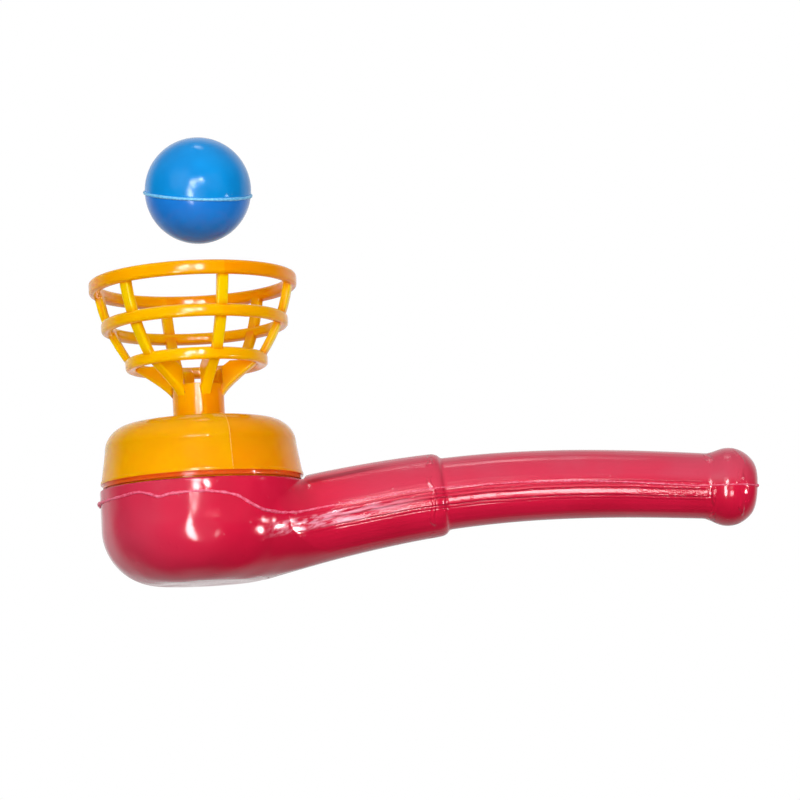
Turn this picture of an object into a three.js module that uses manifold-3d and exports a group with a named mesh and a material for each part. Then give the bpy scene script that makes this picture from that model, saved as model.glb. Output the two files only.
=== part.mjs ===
// Blow ball pipe toy: a blow-moulded pipe, a basket cap pushed into its bowl, and a light hollow ball.
// Millimetres, +Z up. The origin is the centre of the bowl's flat base, and +X runs along the stem.

import * as THREE from 'three';
import { mergeVertices } from 'three/addons/utils/BufferGeometryUtils.js';
import Module from 'manifold-3d';

const wasm = await Module();
wasm.setup();

// Pipe bowl
const bowlRadius = 23.7;
const bowlHeight = 22.5;
const bowlCorner = 13.3;
const pipeWall = 1.3;

// Centre line of the shank and stem, in the plane of the bowl's axis
const rootReach = 12;
const rootLift = 0.1;
const shankHandleReach = 60;
const shankHandleHeight = 20.8;
const stemHandleReach = 84;
const stemHandleHeight = 19;
const mouthReach = 128;
const mouthHeight = 14.5;

// Shank and stem: the step between them lies stemLength before the mouth
const stemEndRadius = 7.5;
const stemTaper = 0.85;
const stemLength = 72.4;
const stepSize = 1.3;
const shankTaper = 1.05;

// Mouthpiece bulb
const bulbProud = 1.55;
const bulbHalfLength = 7.5;
const mouthHoleRadius = 3.3;
const mouthRimWidth = 1;

// Cap
const lipSetback = 0.2;
const capSideHeight = 6.9;
const capDraft = 1.1;
const capWall = 1.3;
const lipHeight = 0.8;
const lipProud = 0.2;
const shoulderWidth = 6.4;
const shoulderHeight = 6;
const seatGap = 1.2;
const collarSetback = 0.5;
const collarClearance = 0.3;
const lidClearance = 0.5;

// Plug under the cap
const plugDepth = 4.3;
const plugWall = 1.2;
const plugChamfer = 0.5;
const plugClearance = 0.3;

// Neck, which is the air nozzle
const neckBoreRadius = 4.6;
const neckWall = 1.4;
const neckLength = 8;
const neckFillet = 0.6;

// Basket rings: outer radius, rise of the middle above the neck's top, height of the outer face
const rimRing = { radius: 24.3, rise: 24.45, height: 3.8 };
const middleRing = { radius: 21.8, rise: 15.05, height: 3.3 };
const lowRing = { radius: 16.6, rise: 6, height: 3.3 };
const ringDepth = 2.6;
const ringChamfer = 0.7;
const ringInnerHeightShare = 0.64;

// Basket ribs, each with a web that fills its foot between the low ring and the neck
const ribCount = 6;
const firstRibAngle = 292;
const ribWidth = 2.6;
const ribInset = 0.6;
const webCornerDrop = 1.1;
const webFootDrop = 3.2;
const seatWidth = 2;

// Ball, drawn where the air jet holds it
const ballRadius = 12.5;
const ballWall = 0.8;
const ballHover = 22.55;
const ballDrift = 2.3;
const seamDrop = 0.8;
const seamProud = 0.25;
const seamHeight = 0.45;
const seamGap = 0.3;
const seamTiltForward = 17.5;
const seamTiltSideways = 5.5;
const ballClearance = 0.35;

// How far a cutting shape runs past what it cuts
const overrun = 2;

// Fineness: counts only
const bowlSides = 48;
const pipeSides = 28;
const capSides = 48;
const ballSides = 30;
const cornerSteps = 8;
const shankSteps = 5;
const stemSteps = 8;
const stepSteps = 3;
const bulbSteps = 8;
const shoulderSteps = 7;
const webSteps = 5;
const ballSteps = 7;
const lineSteps = 200;

// Radii that follow from the sizes above
const stemRadius = stemEndRadius + stemTaper;
const shankRadius = stemRadius + stepSize;
const rootRadius = shankRadius + shankTaper;
const bulbRadius = stemEndRadius + bulbProud;
const mouthFlatRadius = mouthHoleRadius + mouthRimWidth;
const capRadius = bowlRadius - lipSetback;
const neckRadius = neckBoreRadius + neckWall;

// Heights that follow from the sizes above
const rootHeight = rootRadius + rootLift;
const lipBottom = bowlHeight + seatGap;
const capTop = lipBottom + lipHeight + capSideHeight + shoulderHeight;
const neckTop = capTop + neckLength;
const seatRadius = ballRadius + ballClearance;
const seatReach = neckRadius + seatWidth;
const seatHeight = neckTop + lowRing.rise + Math.sqrt(seatRadius ** 2 - seatReach ** 2);
const ballHeight = neckTop + rimRing.rise + ballHover;

// Colour, roughness and metalness of each moulding
const pipeMaterial = new THREE.MeshStandardMaterial({ color: 0xd01f45, roughness: 0.25, metalness: 0 });
const capMaterial = new THREE.MeshStandardMaterial({ color: 0xf39a00, roughness: 0.28, metalness: 0 });
const ballMaterial = new THREE.MeshStandardMaterial({ color: 0x1280d6, roughness: 0.3, metalness: 0 });

// Points of an ellipse's arc in a profile; angles in quarter turns, 0 points outwards and 1 points up
function arc(centreRadius, centreHeight, width, height, from, to, steps) {
  const points = [];
  for (let i = 0; i <= steps; i++) {
    const angle = (from + (to - from) * i / steps) * Math.PI / 2;
    points.push([centreRadius + width * Math.cos(angle), centreHeight + height * Math.sin(angle)]);
  }
  return points;
}

// A geometry of positions only, with shared vertices and no empty triangles, as a closed solid
function solidOf(geometry) {
  geometry.deleteAttribute('normal');
  geometry.deleteAttribute('uv');
  const merged = mergeVertices(geometry);
  const index = merged.index.array;
  const triangles = [];
  for (let i = 0; i < index.length; i += 3) {
    const [a, b, c] = index.slice(i, i + 3);
    if (a !== b && b !== c && c !== a) triangles.push(a, b, c);
  }
  const vertProperties = Float32Array.from(merged.attributes.position.array);
  const triVerts = Uint32Array.from(triangles);
  return new wasm.Manifold(new wasm.Mesh({ numProp: 3, vertProperties, triVerts }));
}

// A solid's triangles as a geometry
function geometryOf(solid) {
  const mesh = solid.getMesh();
  const geometry = new THREE.BufferGeometry();
  geometry.setAttribute('position', new THREE.BufferAttribute(Float32Array.from(mesh.vertProperties), 3));
  geometry.setIndex(Array.from(mesh.triVerts));
  geometry.computeVertexNormals();
  return geometry;
}

// A closed profile of [radius, height] points, anticlockwise, turned about the Z axis
function turned(profile, sides) {
  const points = [...profile, profile[0]].map(([radius, height]) => new THREE.Vector2(radius, height));
  const geometry = new THREE.LatheGeometry(points, sides);
  geometry.rotateX(Math.PI / 2);
  return solidOf(geometry);
}

// The centre line of the shank and stem
function pipeLine() {
  const line = new THREE.CubicBezierCurve3(
    new THREE.Vector3(rootReach, 0, rootHeight),
    new THREE.Vector3(shankHandleReach, 0, shankHandleHeight),
    new THREE.Vector3(stemHandleReach, 0, stemHandleHeight),
    new THREE.Vector3(mouthReach, 0, mouthHeight)
  );
  line.arcLengthDivisions = lineSteps;
  return line;
}

// A round bar along the line: stations are [distance along the line, radius], and may run past its end
function swept(line, stations, sides) {
  const length = line.getLength();
  const positions = [];
  for (const [distance, radius] of stations) {
    const share = Math.min(distance / length, 1);
    const along = line.getTangentAt(share);
    const centre = line.getPointAt(share).addScaledVector(along, distance - share * length);
    const up = new THREE.Vector3(-along.z, 0, along.x);
    const side = new THREE.Vector3().crossVectors(along, up);
    for (let j = 0; j < sides; j++) {
      const angle = 2 * Math.PI * j / sides;
      const point = centre.clone();
      point.addScaledVector(up, radius * Math.cos(angle));
      point.addScaledVector(side, radius * Math.sin(angle));
      positions.push(point.x, point.y, point.z);
    }
  }
  const index = [];
  const last = (stations.length - 1) * sides;
  for (let j = 0; j < sides; j++) {
    const next = (j + 1) % sides;
    for (let ring = 0; ring < last; ring += sides) {
      index.push(ring + j, ring + next, ring + sides + next);
      index.push(ring + j, ring + sides + next, ring + sides + j);
    }
    if (j > 0 && next > 0) {
      index.push(0, next, j);
      index.push(last, last + j, last + next);
    }
  }
  const geometry = new THREE.BufferGeometry();
  geometry.setAttribute('position', new THREE.Float32BufferAttribute(positions, 3));
  geometry.setIndex(index);
  return solidOf(geometry);
}

// Stations at equal steps between two [distance, radius] pairs, without the last one
function tapered([fromDistance, fromRadius], [toDistance, toRadius], steps) {
  const stations = [];
  for (let i = 0; i < steps; i++) {
    const distance = THREE.MathUtils.lerp(fromDistance, toDistance, i / steps);
    const radius = THREE.MathUtils.lerp(fromRadius, toRadius, i / steps);
    stations.push([distance, radius]);
  }
  return stations;
}

// Stations of the shank, the step, the stem and the bulb, drawn in by the wall for the bore
function pipeStations(length, inwards) {
  const step = length - stemLength;
  const bulbTip = bulbHalfLength * Math.sqrt(1 - (mouthFlatRadius / bulbRadius) ** 2);
  const bulbCentre = length - bulbTip;
  const bulbWidth = bulbRadius - inwards;
  const bulbLength = bulbHalfLength - inwards;
  const neckAngle = Math.acos((stemEndRadius - inwards) / bulbWidth) / (Math.PI / 2);
  const tipRadius = inwards > 0 ? mouthHoleRadius : mouthFlatRadius;
  const tipAngle = Math.acos(tipRadius / bulbWidth) / (Math.PI / 2);
  const bulb = arc(0, bulbCentre, bulbWidth, bulbLength, -neckAngle, tipAngle, bulbSteps);
  const round = arc(stemRadius - inwards, step - stepSize, stepSize, stepSize, 0, 1, stepSteps);
  return [
    ...tapered([0, rootRadius - inwards], [step - stepSize, shankRadius - inwards], shankSteps),
    ...round.map(([radius, distance]) => [distance, radius]),
    ...tapered([step, stemRadius - inwards], [bulb[0][1], stemEndRadius - inwards], stemSteps).slice(1),
    ...bulb.map(([radius, distance]) => [distance, radius])
  ];
}

// The bowl's outside, or its inside when drawn in by the wall
function bowlSolid(inwards, top) {
  const radius = bowlRadius - inwards;
  const corner = bowlCorner - inwards;
  const profile = [
    [0, inwards],
    ...arc(radius - corner, bowlCorner, corner, corner, -1, 0, cornerSteps),
    [radius, top],
    [0, top]
  ];
  return turned(profile, bowlSides);
}

// One blow moulding: bowl, shank, stem and mouthpiece bulb, hollow from the bowl's mouth to the hole
function pipeBody() {
  const line = pipeLine();
  const length = line.getLength();
  const bore = [...pipeStations(length, pipeWall), [length + overrun, mouthHoleRadius]];
  const lidRadius = capRadius + lidClearance;
  const lid = [[0, bowlHeight], [lidRadius, bowlHeight], [lidRadius, capTop], [0, capTop]];
  const lidSpace = turned(lid, bowlSides);
  return bowlSolid(0, bowlHeight)
    .add(swept(line, pipeStations(length, 0), pipeSides))
    .subtract(lidSpace)
    .subtract(bowlSolid(pipeWall, bowlHeight + overrun))
    .subtract(swept(line, bore, pipeSides));
}

// The cap with its lip, the collar and plug below it and the neck above it, as one turned wall
function capSolid() {
  const sideRadius = capRadius - lipProud;
  const lipTop = lipBottom + lipHeight;
  const shoulderRadius = sideRadius - capDraft - shoulderWidth;
  const shoulderBase = capTop - shoulderHeight;
  const plugRadius = bowlRadius - pipeWall - plugClearance;
  const plugBottom = bowlHeight - plugDepth;
  const collarRadius = capRadius - collarSetback;
  const collarBottom = bowlHeight + collarClearance;
  const underWidth = shoulderWidth - capWall;
  const underHeight = shoulderHeight - capWall;
  const profile = [
    [plugRadius - plugWall, plugBottom],
    [plugRadius - plugChamfer, plugBottom],
    [plugRadius, plugBottom + plugChamfer],
    [plugRadius, collarBottom],
    [collarRadius, collarBottom],
    [collarRadius, lipBottom],
    [capRadius, lipBottom],
    [capRadius, lipTop - lipProud],
    [sideRadius, lipTop],
    ...arc(shoulderRadius, shoulderBase, shoulderWidth, shoulderHeight, 0, 1, shoulderSteps),
    [neckRadius + neckFillet, capTop],
    [neckRadius, capTop + neckFillet],
    [neckRadius, neckTop],
    [neckBoreRadius, neckTop],
    [neckBoreRadius, capTop - capWall],
    ...arc(shoulderRadius, shoulderBase, underWidth, underHeight, 1, 0, shoulderSteps)
  ];
  return turned(profile, capSides);
}

// One ring of the basket, with a tall outer face and a lower inner one
function ringSolid({ radius, rise, height }) {
  const middle = neckTop + rise;
  const half = height / 2;
  const innerHalf = half * ringInnerHeightShare;
  const profile = [
    [radius - ringDepth, middle - innerHalf],
    [radius - ringChamfer, middle - half],
    [radius, middle - half + ringChamfer],
    [radius, middle + half - ringChamfer],
    [radius - ringChamfer, middle + half],
    [radius - ringDepth, middle + innerHalf]
  ];
  return turned(profile, capSides);
}

// One rib from the rim to the neck; its web's inner corner is hollowed to seat the ball
function ribSolid(angle) {
  const rings = [lowRing, middleRing, rimRing];
  const outerPoint = (ring) => new THREE.Vector2(ring.radius - ribInset, neckTop + ring.rise);
  const innerPoint = (ring) => new THREE.Vector2(ring.radius - ringDepth, neckTop + ring.rise);
  const insideNeck = (neckRadius + neckBoreRadius) / 2;
  const seatStart = Math.asin(seatReach / seatRadius) / (Math.PI / 2);
  const seatEnd = Math.asin(neckRadius / seatRadius) / (Math.PI / 2);
  const seat = arc(0, seatHeight, seatRadius, seatRadius, seatStart - 1, seatEnd - 1, webSteps);
  const web = new THREE.QuadraticBezierCurve(
    new THREE.Vector2(neckRadius, neckTop - webFootDrop),
    new THREE.Vector2(neckRadius, neckTop - webCornerDrop),
    outerPoint(lowRing)
  );
  const shape = new THREE.Shape([
    new THREE.Vector2(insideNeck, neckTop - webFootDrop),
    ...web.getPoints(webSteps),
    outerPoint(middleRing),
    outerPoint(rimRing),
    ...rings.toReversed().map(innerPoint),
    ...seat.map(([radius, height]) => new THREE.Vector2(radius, height)),
    new THREE.Vector2(neckRadius, neckTop),
    new THREE.Vector2(insideNeck, neckTop)
  ]);
  const geometry = new THREE.ExtrudeGeometry(shape, { depth: ribWidth, bevelEnabled: false });
  geometry.translate(0, 0, -ribWidth / 2);
  geometry.rotateX(Math.PI / 2);
  geometry.rotateZ(THREE.MathUtils.degToRad(angle));
  return solidOf(geometry);
}

// One injection moulding: plug, cap, neck, six ribs and three rings
function basketCap() {
  let solid = capSolid();
  for (const ring of [lowRing, middleRing, rimRing]) {
    solid = solid.add(ringSolid(ring));
  }
  for (let i = 0; i < ribCount; i++) {
    solid = solid.add(ribSolid(firstRibAngle + 360 * i / ribCount));
  }
  return solid;
}

// Half of the ball, above the seam when side is 1 and below it when side is -1
function ballShell(side) {
  const edge = seamGap / 2 - side * seamDrop;
  const beadTop = edge + seamHeight;
  const innerRadius = ballRadius - ballWall;
  const outerStart = Math.asin(beadTop / ballRadius) / (Math.PI / 2);
  const innerStart = Math.asin(edge / innerRadius) / (Math.PI / 2);
  const beadRadius = Math.sqrt(ballRadius ** 2 - beadTop ** 2) + seamProud;
  const profile = [
    [beadRadius, edge],
    [beadRadius, beadTop],
    ...arc(0, 0, ballRadius, ballRadius, outerStart, 1, ballSteps).slice(0, -1),
    [0, ballRadius],
    [0, innerRadius],
    ...arc(0, 0, innerRadius, innerRadius, 1, innerStart, ballSteps).slice(1)
  ];
  return turned(profile, ballSides);
}

// A named mesh of one moulding
function part(name, solid, material) {
  const mesh = new THREE.Mesh(geometryOf(solid), material);
  mesh.name = name;
  return mesh;
}

// The ball hovers a little to one side, with its seam tilted as the jet turned it
function ball() {
  const group = new THREE.Group();
  group.position.set(ballDrift, 0, ballHeight);
  const tiltForward = THREE.MathUtils.degToRad(seamTiltForward);
  const tiltSideways = THREE.MathUtils.degToRad(seamTiltSideways);
  group.rotation.set(tiltForward, tiltSideways, 0);
  const upper = part('ball_upper_shell', ballShell(1), ballMaterial);
  const lower = part('ball_lower_shell', ballShell(-1), ballMaterial);
  lower.rotation.x = Math.PI;
  group.add(upper, lower);
  return group;
}

const group = new THREE.Group();
group.add(part('pipe_body', pipeBody(), pipeMaterial));
group.add(part('basket_cap', basketCap(), capMaterial));
group.add(ball());

export default group;
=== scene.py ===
"""Blow ball pipe toy: the finished surfaces and looks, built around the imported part.

The scene is in metres with +Z up. The origin is the centre of the bowl's flat base and +X runs along the
stem. The classes of the toy's pieces hold their sizes in millimetres and scale their points when they make
a mesh. The finishes hold theirs in metres, and scales per metre, unless a field says otherwise.
"""

import logging
import math
from collections.abc import Callable, Iterable, Sequence
from dataclasses import dataclass, replace
from enum import Enum
from typing import Any

import bmesh
import bpy
import numpy as np
from bpy.types import ID, Material, Mesh, Node, NodeSocket, NodeTree, Object
from mathutils import Matrix, Vector


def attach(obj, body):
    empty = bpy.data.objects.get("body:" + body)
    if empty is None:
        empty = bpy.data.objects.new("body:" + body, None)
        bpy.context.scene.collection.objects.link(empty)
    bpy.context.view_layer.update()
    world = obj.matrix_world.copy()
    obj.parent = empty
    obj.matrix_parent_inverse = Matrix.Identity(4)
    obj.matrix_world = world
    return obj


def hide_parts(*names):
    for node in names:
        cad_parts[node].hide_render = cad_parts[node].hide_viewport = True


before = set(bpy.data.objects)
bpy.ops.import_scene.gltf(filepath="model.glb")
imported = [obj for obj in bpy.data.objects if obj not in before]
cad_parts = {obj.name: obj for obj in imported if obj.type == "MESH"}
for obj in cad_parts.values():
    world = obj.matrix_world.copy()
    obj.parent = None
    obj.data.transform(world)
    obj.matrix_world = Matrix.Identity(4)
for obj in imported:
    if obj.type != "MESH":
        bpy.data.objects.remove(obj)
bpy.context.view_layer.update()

log = logging.getLogger("blow_pipe")

MILLIMETRE = 0.001
MERGE_DISTANCE = 1e-7
REFRACTIVE_INDEX = 1.49
Array = np.ndarray
Field = Callable[[Array, Array, Array], Array]
Triple = tuple[float, float, float]
Colour = Triple
Point = tuple[float, float]
Band = tuple[float, float, float, float]
Spans = tuple[float, tuple[Point, ...]]


class Body(Enum):
    """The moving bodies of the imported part."""

    PIPE = "pipe"
    CAP = "basket_cap"
    BALL = "ball"


class Slot(Enum):
    """The record's material slots."""

    PIPE = "pipe_plastic"
    CAP = "cap_plastic"
    BALL = "ball_plastic"


class Gives(Enum):
    """What a lamp gives the toy."""

    EVEN_LIGHT = "even light"
    HIGHLIGHT = "highlight"


class Wire:
    """A node's socket that takes part in sums and adds its own Math nodes."""

    def __init__(self, bench: "Bench", socket: NodeSocket) -> None:
        """Keep the socket and the bench that its sums are built on."""
        self.bench = bench
        self.socket = socket

    def _maths(self, operation: str, left: Any, right: Any) -> "Wire":
        """Add one Math node for two values."""
        return self.bench.node("ShaderNodeMath", {0: left, 1: right}, operation=operation)

    def __add__(self, other: Any) -> "Wire":
        """Sum."""
        return self._maths("ADD", self, other)

    def __radd__(self, other: Any) -> "Wire":
        """Reflected sum."""
        return self._maths("ADD", other, self)

    def __sub__(self, other: Any) -> "Wire":
        """Difference."""
        return self._maths("SUBTRACT", self, other)

    def __rsub__(self, other: Any) -> "Wire":
        """Reflected difference."""
        return self._maths("SUBTRACT", other, self)

    def __mul__(self, other: Any) -> "Wire":
        """Product."""
        return self._maths("MULTIPLY", self, other)

    def __rmul__(self, other: Any) -> "Wire":
        """Reflected product."""
        return self._maths("MULTIPLY", other, self)

    def __truediv__(self, other: Any) -> "Wire":
        """Quotient."""
        return self._maths("DIVIDE", self, other)

    def __rtruediv__(self, other: Any) -> "Wire":
        """Reflected quotient."""
        return self._maths("DIVIDE", other, self)

    def eased(self, low: float, high: float) -> "Wire":
        """0 below low, 1 above high, and a smooth rise between them."""
        sockets = {0: self, 1: low, 2: high}
        return self.bench.node("ShaderNodeMapRange", sockets, interpolation_type="SMOOTHSTEP")

    def within(self, band: Band) -> "Wire":
        """1 between a band's inner two values, 0 outside its outer two, and smooth slopes between."""
        return self.eased(band[0], band[1]) * (1.0 - self.eased(band[2], band[3]))

    def crest(self, middle: float, half_width: float) -> "Wire":
        """1 at a middle value, and a smooth fall to 0 at half a width to either side."""
        gap = (self - middle) * (1 / half_width)
        return 1.0 - (gap * gap).eased(0.0, 1.0)


class Bench:
    """Builds the nodes of one tree."""

    def __init__(self, tree: NodeTree) -> None:
        """Start on an empty tree."""
        self.tree = tree
        tree.nodes.clear()

    def add(self, kind: str, sockets: dict[Any, Any], **settings: Any) -> Node:
        """Add a node.

        Args:
            kind: The node's type name.
            sockets: Values, wires or lists of wires for its inputs, by name or index.
            settings: Its properties, set first; "stops" gives a ramp's positions and greys.

        Returns:
            The node.
        """
        made = self.tree.nodes.new(kind)
        for name, value in settings.items():
            if name == "stops":
                self._stops(made.color_ramp.elements, value)
            else:
                setattr(made, name, value)
        for key, value in sockets.items():
            for one in value if isinstance(value, list) else [value]:
                if isinstance(one, Wire):
                    self.tree.links.new(one.socket, made.inputs[key])
                else:
                    made.inputs[key].default_value = one
        return made

    def _stops(self, elements: Any, stops: Sequence[Point]) -> None:
        """Set a ramp's positions and greys."""
        while len(elements) < len(stops):
            elements.new(1.0)
        for element, (position, grey) in zip(elements, stops):
            element.position = position
            element.color = (grey,) * 4

    def node(self, kind: str, sockets: dict[Any, Any], output: int | str = 0, **settings: Any) -> Wire:
        """Add a node, as add() does, and give the wire from one of its outputs."""
        return Wire(self, self.add(kind, sockets, **settings).outputs[output])


class ShaderBench(Bench):
    """Builds the nodes of one material, or of the surround."""

    def blend(self, share: Any, first: Any, second: Any) -> Wire:
        """Mix two colours; share 0 gives the first."""
        sockets = {0: share, 6: opaque(first), 7: opaque(second)}
        return self.node("ShaderNodeMix", sockets, 2, data_type="RGBA")

    def place(self) -> Wire:
        """Object coordinates, in metres."""
        return self.node("ShaderNodeTexCoord", {}, "Object")

    def attribute(self, name: str, single: bool = False) -> Wire:
        """A vector, or a single value, that the mesh carries at each point."""
        return self.node("ShaderNodeAttribute", {}, "Fac" if single else "Vector", attribute_name=name)

    def part(self, vector: Wire, axis: int) -> Wire:
        """One component of a vector."""
        return self.node("ShaderNodeSeparateXYZ", {0: vector}, axis)

    def noise(self, vector: Wire, scale: float | Triple, detail: float = 2.0) -> Wire:
        """A noise value about 0.5 on a vector; three scales stretch it by axis."""
        if isinstance(scale, tuple):
            vector = self.node("ShaderNodeVectorMath", {0: vector, 1: scale}, operation="MULTIPLY")
            scale = 1.0
        return self.node("ShaderNodeTexNoise", {"Vector": vector, "Scale": scale, "Detail": detail})

    def drift(self, vector: Wire, scale: float | Triple, reach: float) -> Wire:
        """A noise value about 0, with a whole reach."""
        return self.noise(vector, scale) * reach - reach / 2

    def bump(self, height: Wire, depth: float, strength: float = 1.0, normal: Wire | None = None) -> Wire:
        """A bumped normal.

        Args:
            height: The height's share of the depth.
            depth: The depth in metres.
            strength: How much of the bump shows.
            normal: A normal that it adds to.

        Returns:
            The wire of the new normal.
        """
        sockets: dict[str, Any] = {"Strength": strength, "Distance": depth, "Height": height}
        if normal is not None:
            sockets["Normal"] = normal
        return self.node("ShaderNodeBump", sockets)

    def finish(self, surface: Wire, kind: str = "ShaderNodeOutputMaterial") -> None:
        """Add the output node and join the surface to it."""
        self.add(kind, {"Surface": surface})


def opaque(colour: Any) -> Any:
    """A colour with its alpha, or the wire as it is."""
    return colour if isinstance(colour, Wire) else (*colour, 1.0)


@dataclass(frozen=True)
class Finish:
    """A surface finish, with its own way to fill a material."""

    name: str

    def dress(self, bench: ShaderBench) -> None:
        """Build the nodes; each kind of finish has its own way."""
        raise NotImplementedError

    def make(self) -> Material:
        """Build the material."""
        material = bpy.data.materials.new(self.name)
        material.use_nodes = True
        self.dress(ShaderBench(material.node_tree))
        return material


@dataclass(frozen=True)
class PaleFloor(Finish):
    """Pale paint that the camera sees only from above.

    Attributes:
        colours: The two colours of its grain.
        grain_scale: How fine the grain is.
    """

    colours: tuple[Colour, Colour] = ((0.93, 0.93, 0.93), (0.9, 0.9, 0.9))
    grain_scale: float = 40.0

    def dress(self, bench: ShaderBench) -> None:
        """Build the nodes."""
        colour = bench.blend(bench.noise(bench.place(), self.grain_scale, detail=4.0), *self.colours)
        paint = bench.node("ShaderNodeBsdfDiffuse", {"Color": colour})
        clear = bench.node("ShaderNodeBsdfTransparent", {})
        under = bench.node("ShaderNodeNewGeometry", {}, "Backfacing")
        seen = bench.node("ShaderNodeLightPath", {}, "Is Camera Ray")
        sockets = {0: seen * (1.0 - under), 1: clear, 2: paint}
        bench.finish(bench.node("ShaderNodeMixShader", sockets))


@dataclass(frozen=True)
class Plastic(Finish):
    """What the moulded plastics share.

    Attributes:
        colour: Its main colour, linear.
        shade: The colour of its deeper patches.
        roughness: The least and the most roughness.
        rough_mix: How much of it comes from marks, and from the patches.
        cloud_scale: How fine the patches are.
        cloud_range: The noise values between which a patch comes in.
        glow: How much light passes under the surface.
        glow_reach: How far each colour of that light goes, in millimetres.
        gloss: The strength of its reflections; 0.5 is that of its refractive index.
    """

    colour: Colour
    shade: Colour
    roughness: Point
    rough_mix: Point = (0.5, 0.5)
    cloud_scale: float = 90.0
    cloud_range: Point = (0.35, 0.7)
    glow: float = 0.0
    glow_reach: Triple = (1.0, 1.0, 1.0)
    gloss: float = 0.5

    def shader(self, bench: ShaderBench, colour: Any, rough: Wire, normal: Wire) -> None:
        """Add the surface shader and the output.

        Args:
            bench: The material's bench.
            colour: The base colour.
            rough: The share of the way from the least roughness to the most.
            normal: The bumped normal.
        """
        least, most = self.roughness
        sockets = {
            "Base Color": colour,
            "Roughness": rough * (most - least) + least,
            "Normal": normal,
            "IOR": REFRACTIVE_INDEX,
            "Specular IOR Level": self.gloss,
            "Subsurface Weight": self.glow,
            "Subsurface Radius": self.glow_reach,
            "Subsurface Scale": MILLIMETRE,
        }
        bench.finish(bench.node("ShaderNodeBsdfPrincipled", sockets))

    def clouds(self, bench: ShaderBench, place: Wire) -> Wire:
        """The soft patches, 0 to 1."""
        return bench.noise(place, self.cloud_scale, detail=3.0).eased(*self.cloud_range)


@dataclass(frozen=True)
class MouldedPlastic(Plastic):
    """Injection-moulded plastic: faint flow clouds, fine scuffs and a slightly uneven skin.

    Attributes:
        scuff_strength: How much of the scuffs' relief shows.
        painted_backlight_colour: A painted glow where light would come through, by the mesh's "thin" share.
        half_colour: The colour beyond the mould's parting plane.
        parting_angle: The turn of that plane about the axis, in degrees.
        parting_blur: Half the width over which the two halves blend.
        painted_bounce_colour, painted_bounce_band: The colour of a low band, a painted shade and red
            reflection of the bowl under the lip, and the heights that it lies between.
    """

    skin_scale: float = 120.0
    skin_depth: float = 0.00024
    scuff_scale: float = 900.0
    scuff_range: Point = (0.6, 0.8)
    scuff_depth: float = 0.000004
    scuff_strength: float = 0.5
    painted_backlight_colour: Colour | None = None
    half_colour: Colour | None = None
    parting_angle: float = 0.0
    parting_blur: float = 0.0002
    painted_bounce_colour: Colour | None = None
    painted_bounce_band: Band = (0.0, 0.0, 0.0, 0.0)

    def dress(self, bench: ShaderBench) -> None:
        """Build the nodes."""
        place = bench.place()
        clouds = self.clouds(bench, place)
        scuffs = bench.noise(place, self.scuff_scale).eased(*self.scuff_range)
        colour = bench.blend(clouds, self.colour, self.shade)
        if self.half_colour:
            turn = math.radians(self.parting_angle)
            across = bench.part(place, 1) * math.cos(turn) - bench.part(place, 0) * math.sin(turn)
            beyond = across.eased(-self.parting_blur, self.parting_blur)
            colour = bench.blend(beyond, colour, self.half_colour)
        # Painted shade and red reflection of the bowl on the low band under the lip
        if self.painted_bounce_colour:
            colour = bench.blend(bench.part(place, 2).within(self.painted_bounce_band), colour, self.painted_bounce_colour)
        # Painted light: thin parts get a brighter yellow that stands in for light coming through them
        if self.painted_backlight_colour:
            colour = bench.blend(bench.attribute("thin", single=True), colour, self.painted_backlight_colour)
        skin = bench.bump(bench.noise(place, self.skin_scale), self.skin_depth)
        normal = bench.bump(scuffs, self.scuff_depth, self.scuff_strength, skin)
        self.shader(bench, colour, scuffs * self.rough_mix[0] + clouds * self.rough_mix[1], normal)


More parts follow.
